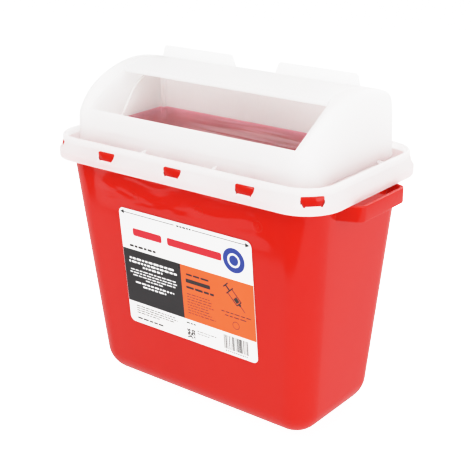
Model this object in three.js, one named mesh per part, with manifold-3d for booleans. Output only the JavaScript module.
// Counter-top sharps container: a tapered, open-topped body with two carrying
// loops, a latching lid with a hooded front opening, a tilting drop tray that
// hangs between the hood's inner side walls, a closure flap with two lock tabs
// that folds back onto the hood, and a label on the front wall.
//
// Frame: millimetres, +Z up. Origin on the table at the centre of the
// footprint. The opening and the label face -Y, the carrying loops are on +/-X.

import * as THREE from 'three';
import { mergeVertices } from 'three/addons/utils/BufferGeometryUtils.js';
import Module from 'manifold-3d';

const { clamp, degToRad, smoothstep } = THREE.MathUtils;

// ---------------------------------------------------------- shared dimensions
const BODY = {
  width: 221.5,         // at the table, between sharp corners
  depth: 103.3,
  widthGain: 0.164,     // gained per mm of height
  depthGain: 0.174,
  radius: 21.5,         // vertical corner radius at the table
  radiusGain: 0.021,
  fillet: 22,           // round between wall and bottom
  wall: 2,
  floor: 2.4,
};
const SKIRT = {
  halfX: 138,
  halfY: 79.2,
  radius: 31.5,
  bottomZ: 203.2,
  bandZ: 210,           // end of the upright band
  slopeZ: 217,          // top of the inclined band
  lean: 3.4,            // how far the inclined band leans in
};
const LID_WALL = 2.2;
const DECK_Z = 215;     // underside of the deck between bead and hood
const OPENING = {
  halfX: 104,
  bottomZ: 244,         // top of the front wall under the opening
  roofY: -11.4,         // front edge of the roof above the opening
};
const PIVOT = { y: 4, z: 236, radius: 4 };

// ------------------------------------------------------------------ materials
function plain({ color, roughness }) {
  return new THREE.MeshStandardMaterial({ color, roughness, metalness: 0 });
}
const MATERIALS = {
  body: plain({ color: 0xe1281c, roughness: 0.32 }),
  lid: plain({ color: 0xf4f2f0, roughness: 0.38 }),
  flap: plain({ color: 0xeeeeec, roughness: 0.36 }),
  tray: plain({ color: 0xe6dcd6, roughness: 0.2 }),
  label: plain({ color: 0xf7f6f4, roughness: 0.45 }),
};

// ------------------------------------------------------------- solids, meshes
const wasm = await Module();
wasm.setup();

function solid(geometry) {
  geometry.deleteAttribute('normal');
  geometry.deleteAttribute('uv');
  const merged = mergeVertices(geometry, 1e-4);
  return new wasm.Manifold(new wasm.Mesh({
    numProp: 3,
    vertProperties: new Float32Array(merged.attributes.position.array),
    triVerts: new Uint32Array(merged.index.array),
  }));
}

function meshOf(manifold, name, material) {
  const { vertProperties, triVerts } = manifold.getMesh();
  const geometry = new THREE.BufferGeometry();
  geometry.setAttribute(
    'position', new THREE.BufferAttribute(new Float32Array(vertProperties), 3));
  geometry.setIndex(new THREE.BufferAttribute(new Uint32Array(triVerts), 1));
  geometry.computeVertexNormals();
  const mesh = new THREE.Mesh(geometry, material);
  mesh.name = name;
  return mesh;
}

// ----------------------------------------------------------------- geometries
function extrude(points, depth, steps = 1) {
  const shape = new THREE.Shape(points.map(([x, y]) => new THREE.Vector2(x, y)));
  return new THREE.ExtrudeGeometry(shape, { depth, steps, bevelEnabled: false });
}

// outline in (y, z), extruded along x
function extrudeX(points, x0, x1) {
  const turn = new THREE.Matrix4().makeBasis(
    new THREE.Vector3(0, 1, 0), new THREE.Vector3(0, 0, 1), new THREE.Vector3(1, 0, 0));
  return extrude(points, x1 - x0).applyMatrix4(turn).translate(x0, 0, 0);
}

// outline in (x, z), extruded along y
function extrudeY(points, y0, y1) {
  return extrude(points, y1 - y0).rotateX(Math.PI / 2).translate(0, y1, 0);
}

// outline in (x, y), extruded along z
function extrudeZ(points, z0, z1) {
  return extrude(points, z1 - z0).translate(0, 0, z0);
}

function boxGeometry(x0, x1, y0, y1, z0, z1) {
  return new THREE.BoxGeometry(x1 - x0, y1 - y0, z1 - z0)
    .translate((x0 + x1) / 2, (y0 + y1) / 2, (z0 + z1) / 2);
}

const box = (...limits) => solid(boxGeometry(...limits));
const prismX = (points, x0, x1) => solid(extrudeX(points, x0, x1));
const prismZ = (points, z0, z1) => solid(extrudeZ(points, z0, z1));

// x limits, in rising order, of a part between two distances on one side
function sideSpan(side, near, far) {
  return [Math.min(side * near, side * far), Math.max(side * near, side * far)];
}

// cylinder along x
function rodX(y, z, radius, x0, x1, segments = 24) {
  return solid(new THREE.CylinderGeometry(radius, radius, x1 - x0, segments)
    .rotateZ(-Math.PI / 2)
    .translate((x0 + x1) / 2, y, z));
}

// cylinder along z with a domed lower end
function rodZ(x, y, radius, z0, z1) {
  const domeSteps = 4;
  const profile = [new THREE.Vector2(0, 0)];
  for (let i = 1; i <= domeSteps; i++) {
    const angle = (Math.PI / 2) * (i / domeSteps);
    profile.push(new THREE.Vector2(radius * Math.sin(angle), radius * (1 - Math.cos(angle))));
  }
  profile.push(new THREE.Vector2(radius, z1 - z0), new THREE.Vector2(0, z1 - z0));
  return solid(new THREE.LatheGeometry(profile, 16).rotateX(Math.PI / 2).translate(x, y, z0));
}

// rounded rectangle, with the same vertex order for every size
function ring(halfX, halfY, radius) {
  const arcSteps = 7;
  const x = halfX - radius;
  const y = halfY - radius;
  const points = [];
  for (const [cx, cy, start] of [[x, y, 0], [-x, y, 90], [-x, -y, 180], [x, -y, 270]]) {
    for (let i = 0; i <= arcSteps; i++) {
      const angle = degToRad(start + 90 * i / arcSteps);
      points.push([cx + radius * Math.cos(angle), cy + radius * Math.sin(angle)]);
    }
  }
  return points;
}

// open line whose inner vertices are rounded, one radius for each
function roundedLine(points, radii, steps = 6) {
  const out = [points[0]];
  radii.forEach((radius, index) => {
    const [before, corner, after] = points.slice(index, index + 3)
      .map(([x, y]) => new THREE.Vector2(x, y));
    const toBefore = before.sub(corner).normalize();
    const toAfter = after.sub(corner).normalize();
    const half = Math.acos(clamp(toBefore.dot(toAfter), -1, 1)) / 2;
    const setback = radius / Math.tan(half);
    const bisector = toBefore.clone().add(toAfter).normalize();
    const centre = corner.clone().addScaledVector(bisector, radius / Math.sin(half));
    const start = corner.clone().addScaledVector(toBefore, setback).sub(centre);
    const end = corner.clone().addScaledVector(toAfter, setback).sub(centre);
    const startAngle = Math.atan2(start.y, start.x);
    let sweep = Math.atan2(end.y, end.x) - startAngle;
    while (sweep > Math.PI) sweep -= 2 * Math.PI;
    while (sweep < -Math.PI) sweep += 2 * Math.PI;
    for (let i = 0; i <= steps; i++) {
      const angle = startAngle + sweep * i / steps;
      out.push([centre.x + radius * Math.cos(angle), centre.y + radius * Math.sin(angle)]);
    }
  });
  out.push(points[points.length - 1]);
  return out;
}

// Stack of sections: an extrusion of the base outline with one level per
// section. place(level, index) gives the final position of each outline point.
function stack(count, base, place) {
  const geometry = extrude(base, count - 1, count - 1);
  const position = geometry.attributes.position;
  for (let i = 0; i < position.count; i++) {
    const x = position.getX(i);
    const y = position.getY(i);
    let nearest = 0;
    let nearestDistance = Infinity;
    base.forEach(([baseX, baseY], index) => {
      const distance = (baseX - x) ** 2 + (baseY - y) ** 2;
      if (distance < nearestDistance) {
        nearestDistance = distance;
        nearest = index;
      }
    });
    position.setXYZ(i, ...place(Math.round(position.getZ(i)), nearest));
  }
  return solid(geometry);
}

// upright stack of rounded rectangles: levels are [z, halfX, halfY, radius]
function tower(levels) {
  const rings = levels.map(([, ...size]) => ring(...size));
  return stack(levels.length, ring(100, 100, 30),
    (level, index) => [...rings[level][index], levels[level][0]]);
}

// tower that follows the skirt's outline: levels are [z, inset from the skirt]
function skirtTower(levels) {
  return tower(levels.map(([z, inset]) => (
    [z, SKIRT.halfX - inset, SKIRT.halfY - inset, SKIRT.radius - inset])));
}

// ------------------------------------------------------ snap tabs and windows
const SNAP = {
  topWidth: 18,         // window width at the top and at the bottom
  bottomWidth: 14.7,
  widenZ: 213.6,        // from the upright band's end the width grows up to here
  sideClearance: 0.9,   // a tab is this much narrower than its window
  pitch: 70,
  shift: 2.4,           // each row sits a little off centre
  tabFace: SKIRT.halfY - LID_WALL - 0.4,
  cornerTabFace: 28.8,  // radius of the corner tabs' curved outer face
  reach: 2.8,           // windows and reliefs start this far behind the tab's face
};

// Places of the tabs. Faces are distances outward from the place's own centre;
// turn 0 faces +Y.
const SNAPS = [];
for (const side of [1, -1]) {
  for (const x of [-SNAP.pitch, 0, SNAP.pitch]) {
    SNAPS.push({
      x: x - side * SNAP.shift,
      y: 0,
      turn: side > 0 ? 0 : Math.PI,
      skirtFace: SKIRT.halfY,
      tabFace: SNAP.tabFace,
      curved: false,
    });
  }
}
for (const [sideX, sideY, degrees] of [[1, 1, -45], [-1, 1, 45], [-1, -1, 135], [1, -1, 225]]) {
  SNAPS.push({
    x: sideX * (SKIRT.halfX - SKIRT.radius),
    y: sideY * (SKIRT.halfY - SKIRT.radius),
    turn: degToRad(degrees),
    skirtFace: SKIRT.radius,
    tabFace: SNAP.cornerTabFace,
    curved: true,
  });
}

function placed(geometry, { x, y, turn }) {
  return solid(geometry.rotateZ(turn).translate(x, y, 0));
}

// block from y0 to y1 that widens upward between the upright band and widenZ
function keystone(bottomWidth, topWidth, z0, z1, y0, y1) {
  const low = bottomWidth / 2;
  const high = topWidth / 2;
  const outline = [
    [-low, SKIRT.bandZ], [low, SKIRT.bandZ], [high, SNAP.widenZ],
    [high, z1], [-high, z1], [-high, SNAP.widenZ],
  ];
  if (z0 < SKIRT.bandZ) outline.splice(1, 0, [-low, z0], [low, z0]);
  return extrudeY(outline, y0, y1);
}

function snapTab(snap) {
  const face = snap.tabFace;
  const back = face - 2.3;
  const bottomWidth = SNAP.bottomWidth - SNAP.sideClearance;
  const topWidth = SNAP.topWidth - SNAP.sideClearance;
  const halfBlank = topWidth / 2 + 1;
  // section in (outward, z)
  const section = [[back, 208], [face, 208], [face, 215.8], [face - 0.5, 216.6], [back, 216.6]];
  const tab = placed(extrudeX(section, -halfBlank, halfBlank), snap)
    .intersect(placed(keystone(bottomWidth, topWidth, 207, 218, face - 3, face + 1), snap));
  if (!snap.curved) return tab;
  const round = new THREE.CylinderGeometry(face, face, 20, 96)
    .rotateX(Math.PI / 2)
    .translate(0, 0, 212);
  return tab.intersect(placed(round, snap));
}

function snapWindow(snap) {
  return placed(keystone(SNAP.bottomWidth, SNAP.topWidth, SKIRT.bandZ, SKIRT.slopeZ,
    snap.tabFace - SNAP.reach, snap.skirtFace + 3), snap);
}

// relief inside the skirt that the tab passes through when the lid is lifted
function snapRelief(snap) {
  const halfWidth = (SNAP.topWidth + 0.1) / 2;
  return placed(boxGeometry(-halfWidth, halfWidth,
    snap.tabFace - SNAP.reach, snap.tabFace + 0.4, 209, SNAP.widenZ), snap);
}

// ----------------------------------------------------------------------- body
const RIM = {
  flangeZ: 203.7,       // underside of the flange
  flange: 2.2,
  topZ: 209.2,
  inset: 3,             // of the upstand's outer face from the skirt's
  wall: 2,
};
const LOOP = {
  barX: 145.6,          // outer face of the grip bar
  barHalfY: 30.5,
  rootHalfY: 38.5,      // half spread of the arms at the wall
  rootSink: 1.2,        // how far the arms start inside the wall's outer face
  bottomZ: 190.2,
  topZ: 202.7,
  thickness: 2.8,
  radius: 7,
};

const bodyHalfX = (z) => (BODY.width + BODY.widthGain * z) / 2;
const bodyHalfY = (z) => (BODY.depth + BODY.depthGain * z) / 2;
const bodyRadius = (z) => BODY.radius + BODY.radiusGain * z;

function bodyTower(inset, bottomZ, fillet, topZ) {
  const filletSteps = 6;
  const levels = [];
  for (let i = 0; i <= filletSteps; i++) {
    const angle = (Math.PI / 2) * (i / filletSteps);
    const z = bottomZ + fillet * (1 - Math.cos(angle));
    const edge = inset + fillet * (1 - Math.sin(angle));
    // the corner radius shrinks less than the inset, so that it stays positive
    levels.push([z, bodyHalfX(z) - edge, bodyHalfY(z) - edge, bodyRadius(z) - edge * 0.9]);
  }
  for (const z of [70, 140, topZ]) {
    levels.push([z, bodyHalfX(z) - inset, bodyHalfY(z) - inset, bodyRadius(z) - inset]);
  }
  return tower(levels);
}

// strap bent into a U with flared arms, roots buried in the wall
function carryingLoop(side) {
  const { barX, barHalfY, rootHalfY, thickness, radius } = LOOP;
  const rootX = bodyHalfX(LOOP.bottomZ) - LOOP.rootSink;
  const bend = (x, barY, rootY, bendRadius) => roundedLine(
    [[rootX, -rootY], [x, -barY], [x, barY], [rootX, rootY]], [bendRadius, bendRadius]);
  const outer = bend(barX, barHalfY, rootHalfY, radius);
  // the slope of the arms sets how far the inner line moves along y
  const inner = bend(barX - thickness, barHalfY - thickness * 0.68,
    rootHalfY - thickness * 1.08, radius - thickness);
  const strap = extrudeZ([...outer, ...inner.reverse()], LOOP.bottomZ, LOOP.topZ);
  if (side < 0) strap.rotateZ(Math.PI);
  return solid(strap);
}

function buildBody() {
  const flangeTopZ = RIM.flangeZ + RIM.flange;
  const rimInner = RIM.inset + RIM.wall;
  let body = bodyTower(0, 0, BODY.fillet, flangeTopZ)
    .add(skirtTower([[RIM.flangeZ, RIM.inset], [RIM.topZ, RIM.inset]]))
    .subtract(skirtTower([[flangeTopZ, rimInner], [RIM.topZ + 5, rimInner]]));
  for (const side of [1, -1]) body = body.add(carryingLoop(side));
  // the hollow also trims the buried loop roots
  body = body.subtract(
    bodyTower(BODY.wall, BODY.floor, BODY.fillet - 1.5, RIM.flangeZ + 12));
  for (const snap of SNAPS) body = body.add(snapTab(snap));
  return body;
}

// ----------------------------------------------------------------------- hood
const HOOD = {
  halfX: 121,
  halfY: 62,
  radius: 15,           // plan corner radius
  shoulderX: 6,         // elliptical shoulder, across
  shoulderZ: 13,        // elliptical shoulder, down
  shoulderFadeZ: 217,   // the shoulder's drop grows from none here
  shoulderFade: 18,     // to full over this height
  frameX: 105.6,        // out to here the slope beside the opening is flat
  domedX: 114,          // and from here on the cheek is fully domed
  taper: 0.0002,        // share of x lost per mm of height above taperZ
  taperZ: 214,
};
const SEAT = { depth: 2.4, halfX: 101.9, startY: -30, endY: 39.4 };

// side view of the hood, front wall to rear wall: y, z
const HOOD_PROFILE = [
  [-62.6, 214], [-61.6, 236], [-60.8, 240.5], [-59.3, 243.6], [-56.6, 247.6], [-52.5, 252.6],
  [-46.5, 258], [-39, 262.7], [-31, 266.5], [-23, 269.5], [-15, 271.9], [-7, 273.8],
  [2, 275.1], [11, 275.6], [19, 275.4], [27, 274.6], [34, 273.4], [41, 271.9],
  [48, 270.1], [54, 267.8], [58, 264.6], [60, 260], [61, 250], [62.2, 214],
];
// straight line beside the opening, from the front wall to the roof edge: y, z
const CHORD = [[-59.3, 243.6], [-12, 272.4]];
// stations across the hood: x over the domed cheek, then shares of the corner radius
const CHEEK_X = [109, 112];
const CORNER_SHARES = [0.52, 0.7, 0.83, 0.92, 0.975, 1];

// height on the line through two (y, z) points
function lineZ([y0, z0], [y1, z1], y) {
  return z0 + (y - y0) * (z1 - z0) / (y1 - y0);
}

function profileZ(y) {
  const next = HOOD_PROFILE.findIndex(([pointY]) => y <= pointY);
  return lineZ(HOOD_PROFILE[next - 1], HOOD_PROFILE[next], y);
}

// moves the hood profile inward, which is to the right of its run
function offsetProfile(offset) {
  return HOOD_PROFILE.map(([y, z], index) => {
    const [y0, z0] = HOOD_PROFILE[Math.max(index - 1, 0)];
    const [y1, z1] = HOOD_PROFILE[Math.min(index + 1, HOOD_PROFILE.length - 1)];
    const length = Math.hypot(y1 - y0, z1 - z0);
    return [y + offset * (z1 - z0) / length, z - offset * (y1 - y0) / length];
  });
}

// solid hood, drawn in by the offset; its sections in (y, z) are stacked along x
function hood(offset, baseZ) {
  // from rear to front, so that the outline runs counter-clockwise in (y, z)
  const outline = offsetProfile(offset).reverse();
  outline[0][1] = baseZ;
  outline[outline.length - 1][1] = baseZ;

  const halfX = HOOD.halfX - offset;
  const halfY = HOOD.halfY - offset;
  const radius = HOOD.radius - offset;
  const shoulderX = HOOD.shoulderX - 0.5 * offset;
  const shoulderZ = HOOD.shoulderZ - offset;
  const stations = [
    HOOD.frameX - 0.8 * offset,
    ...CHEEK_X,
    ...CORNER_SHARES.map((share) => halfX - radius + radius * share),
  ];
  const levels = [...stations.map((x) => -x).reverse(), ...stations];

  return stack(levels.length, outline, (level, index) => {
    const x = levels[level];
    const across = Math.abs(x);
    const pastCorner = Math.max(0, across - (halfX - radius));
    const planInset = pastCorner > 0
      ? radius - Math.sqrt(Math.max(0, radius * radius - pastCorner * pastCorner))
      : 0;
    const pastShoulder = Math.max(0, across - (halfX - shoulderX)) / shoulderX;
    const drop = shoulderZ * (1 - Math.sqrt(Math.max(0, 1 - pastShoulder * pastShoulder)));

    const [sectionY, outlineZ] = outline[index];
    let sectionZ = outlineZ;
    if (sectionY > CHORD[0][0] && sectionY < CHORD[1][0]) {
      // flatten the slope down to the chord beside the opening
      const chordZ = lineZ(...CHORD, sectionY) - 1.17 * offset;
      const flat = smoothstep(HOOD.domedX - across, 0, HOOD.domedX - HOOD.frameX);
      sectionZ -= flat * Math.max(0, sectionZ - chordZ);
    }
    const fade = clamp((sectionZ - HOOD.shoulderFadeZ) / HOOD.shoulderFade, 0, 1);
    const z = sectionZ - drop * fade;
    return [
      x * (1 - HOOD.taper * (z - HOOD.taperZ)),
      sectionY * (1 - planInset / halfY),
      z,
    ];
  });
}

// strip that follows the roof line between two depths below it
function roofStrip(y0, y1, topDepth, bottomDepth, halfX) {
  const inside = HOOD_PROFILE.map(([y]) => y).filter((y) => y > y0 + 0.5 && y < y1 - 0.5);
  const ys = [y0, ...inside, y1];
  const top = ys.map((y) => [y, profileZ(y) - topDepth]);
  const bottom = ys.map((y) => [y, profileZ(y) - bottomDepth]);
  return prismX([...bottom, ...top.reverse()], -halfX, halfX);
}

// ------------------------------------------------------------------------ lid
const BEAD = { topZ: 222.4, width: 3.8, innerChamfer: 1.4 };
const RIB_THICKNESS = 1.6;
const FRONT_RIB_X = [-37.4, 34.5];
const SIDE_RIB_Y = 29.8;        // rear face of the rib on +X
const SHELF = { frontY: -61, rearY: -23, bottomZ: 225.4, topZ: 227.7 };
const INNER_WALL = 2;
// front rib: y, z
const FRONT_RIB = [
  [-72.6, 216.6], [-61, 216.6], [-61, 221.6], [-62.6, 221.2], [-72.6, 218.8],
];
// rib on +X: x, z
const SIDE_RIB = [
  [119.5, 216.6], [131.4, 216.6], [131.4, 217.9], [121.5, 219.2], [119.5, 219.5],
];

// skirt, bead and deck
function lidBase() {
  const beadInner = SKIRT.lean + BEAD.width;
  const outside = skirtTower([
    [SKIRT.bottomZ, 0],
    [SKIRT.bandZ, 0],
    [SKIRT.slopeZ, SKIRT.lean],
    [BEAD.topZ - 1.8, SKIRT.lean],
    [BEAD.topZ - 0.5, SKIRT.lean + 0.5],
    [BEAD.topZ, SKIRT.lean + 1.5],
  ]);
  const insideBead = skirtTower([
    [DECK_Z + LID_WALL, beadInner],
    [BEAD.topZ - 1.6, beadInner],
    [BEAD.topZ + 0.1, beadInner - BEAD.innerChamfer],
    [BEAD.topZ + 6, beadInner - BEAD.innerChamfer],
  ]);
  const underDeck = skirtTower([
    [SKIRT.bottomZ - 4, LID_WALL],
    [SKIRT.bandZ - 0.3, LID_WALL],
    [DECK_Z, LID_WALL + 2.5],
  ]);
  return outside.subtract(insideBead).subtract(underDeck);
}

// ribs across the channel, from the bead up onto the hood wall
function channelRibs() {
  const rearRib = FRONT_RIB.map(([y, z]) => [-y, z]).reverse();
  const half = RIB_THICKNESS / 2;
  const ribs = FRONT_RIB_X.flatMap((x) => (
    [FRONT_RIB, rearRib].map((outline) => prismX(outline, x - half, x + half))));
  // the rib on -X is the one on +X turned half round
  for (const turn of [0, Math.PI]) {
    const rib = extrudeY(SIDE_RIB, SIDE_RIB_Y - RIB_THICKNESS, SIDE_RIB_Y);
    ribs.push(solid(rib.rotateZ(turn)));
  }
  return ribs;
}

function buildLid() {
  const { halfX, bottomZ, roofY } = OPENING;
  // the flap lies in a seat sunk into the roof, with the roof's wall kept below it
  const hoodOuter = hood(0, DECK_Z)
    .subtract(roofStrip(SEAT.startY, SEAT.endY, -8, SEAT.depth, SEAT.halfX));
  const cavity = hood(LID_WALL, SKIRT.bottomZ - 6).subtract(roofStrip(
    SEAT.startY, SEAT.endY + LID_WALL, 0, SEAT.depth + LID_WALL, SEAT.halfX + LID_WALL));

  let lid = lidBase().add(hoodOuter);
  for (const rib of channelRibs()) lid = lid.add(rib);
  lid = lid.subtract(cavity);

  // fixed shelf behind the front wall, on which the tray's front edge rests
  lid = lid.add(box(
    -halfX - 1, halfX + 1, SHELF.frontY, SHELF.rearY, SHELF.bottomZ, SHELF.topZ));
  // inner side walls that carry the tray's pivots
  for (const side of [1, -1]) {
    const wall = box(...sideSpan(side, halfX, halfX + INNER_WALL), -75, 46, 222, 300);
    lid = lid.add(wall.intersect(hood(0.4, 214)));
  }
  lid = lid.subtract(box(-halfX, halfX, -90, roofY, bottomZ, 320));
  // thin the top edge of the front wall from inside so that the lock tabs pass it
  lid = lid.subtract(box(-halfX, halfX, -57, -50, 240, bottomZ + 2));
  lid = lid.subtract(rodX(PIVOT.y, PIVOT.z, PIVOT.radius + 0.4, -halfX - 4, halfX + 4));
  for (const snap of SNAPS) lid = lid.subtract(snapWindow(snap)).subtract(snapRelief(snap));
  return lid;
}

// ------------------------------------------------------------------ drop tray
const TRAY = {
  halfX: 101.4,
  wall: 1.8,
  floorZ: 228.2,
  frontY: -27,
  backY: 31,
  frontRadius: 3,       // corner radii in plan
  rearRadius: 8,
  rimZ: 231.6,          // top of the low front rim
  topZ: 263,
};
const POST = { x: 98, y: 28, radius: 2.2, bottomZ: 217, topZ: 262 };
// side view of the tray, which runs past its front, rear and floor: y, z
const TRAY_SIDE = [
  [TRAY.frontY - 1, TRAY.floorZ - 1], [TRAY.backY + 1, TRAY.floorZ - 1],
  [TRAY.backY + 1, TRAY.topZ], [25, TRAY.topZ + 2], [15, TRAY.topZ + 2.4],
  [11, TRAY.topZ + 0.8], [-7, 253], [-12, 246], [-18.2, 238], [-21.5, 233.4],
  [-24.4, TRAY.rimZ], [TRAY.frontY - 1, TRAY.rimZ],
];

function trayPlan(inset) {
  const halfX = TRAY.halfX - inset;
  const frontY = TRAY.frontY + inset;
  const backY = TRAY.backY - inset;
  const front = TRAY.frontRadius - inset * 0.9;
  const rear = TRAY.rearRadius - inset;
  const corners = [
    [0, frontY], [halfX, frontY], [halfX, backY], [-halfX, backY], [-halfX, frontY], [0, frontY],
  ];
  // the last point repeats the first
  return roundedLine(corners, [front, rear, rear, front], 5).slice(0, -1);
}

function buildTray() {
  let tray = prismZ(trayPlan(0), TRAY.floorZ, TRAY.topZ + 6)
    .subtract(prismZ(trayPlan(TRAY.wall), TRAY.floorZ + TRAY.wall, TRAY.topZ + 10))
    .intersect(prismX(TRAY_SIDE, -TRAY.halfX - 5, TRAY.halfX + 5));
  for (const side of [1, -1]) {
    const pivotSpan = sideSpan(side, TRAY.halfX - 1, OPENING.halfX + 4.5);
    tray = tray.add(rodX(PIVOT.y, PIVOT.z, PIVOT.radius, ...pivotSpan));
    // round post up each rear corner, its domed foot hanging below the floor
    tray = tray.add(rodZ(side * POST.x, POST.y, POST.radius, POST.bottomZ, POST.topZ));
  }
  return tray;
}

// --------------------------------------------------------------- closure flap
const FLAP = {
  halfX: 101.4,
  thickness: 1.9,
  hingeY: -14,
  hingeZ: 269.6,
  beadRadius: 2,
  endY: 37.7,
};
const LOCK_TAB = {
  innerX: 20,
  outerX: 101,
  frontY: 31.5,
  thickness: 2.2,
  bottomZ: 272.6,
  chamferZ: 281.8,
  topZ: 283.4,
};
// lock tab on +X: x, z
const LOCK_TAB_OUTLINE = [
  [LOCK_TAB.innerX, LOCK_TAB.bottomZ], [LOCK_TAB.outerX, LOCK_TAB.bottomZ],
  [98.6, LOCK_TAB.chamferZ], [97, LOCK_TAB.topZ],
  [25.2, LOCK_TAB.topZ], [23.6, LOCK_TAB.chamferZ],
];

function buildFlap() {
  const { halfX, hingeY, hingeZ, beadRadius } = FLAP;
  let flap = roofStrip(hingeY, FLAP.endY, 0, FLAP.thickness, halfX)
    .add(rodX(hingeY, hingeZ, beadRadius, -halfX, halfX, 20));
  // the tab on -X is a shifted copy, not a mirrored one
  for (const shift of [0, -(LOCK_TAB.innerX + LOCK_TAB.outerX)]) {
    const tab = extrudeY(
      LOCK_TAB_OUTLINE, LOCK_TAB.frontY, LOCK_TAB.frontY + LOCK_TAB.thickness);
    flap = flap.add(solid(tab.translate(shift, 0, 0)));
  }
  return flap;
}

// ---------------------------------------------------------------------- label
const LABEL = {
  width: 137,
  height: 106.6,
  radius: 5,
  x: 2.6,
  z: 116.3,
  thickness: 0.35,
  gap: 0.3,             // between the wall and the label
};

function buildLabel() {
  const tilt = Math.atan(BODY.depthGain / 2);
  // lie in the wall plane: x stays, y goes up the wall, thickness goes outward
  const geometry = extrude(ring(LABEL.width / 2, LABEL.height / 2, LABEL.radius), LABEL.thickness)
    .rotateX(Math.PI / 2 + tilt);
  const label = new THREE.Mesh(geometry, MATERIALS.label);
  label.name = 'front_label';
  label.position.set(LABEL.x, -bodyHalfY(LABEL.z) - LABEL.gap / Math.cos(tilt), LABEL.z);
  return label;
}

// --------------------------------------------------------------------- output
const group = new THREE.Group();
group.add(meshOf(buildBody(), 'container_body', MATERIALS.body));
group.add(meshOf(buildLid(), 'lid_shell', MATERIALS.lid));
group.add(meshOf(buildTray(), 'drop_tray', MATERIALS.tray));
group.add(meshOf(buildFlap(), 'closure_flap', MATERIALS.flap));
group.add(buildLabel());

export default group;
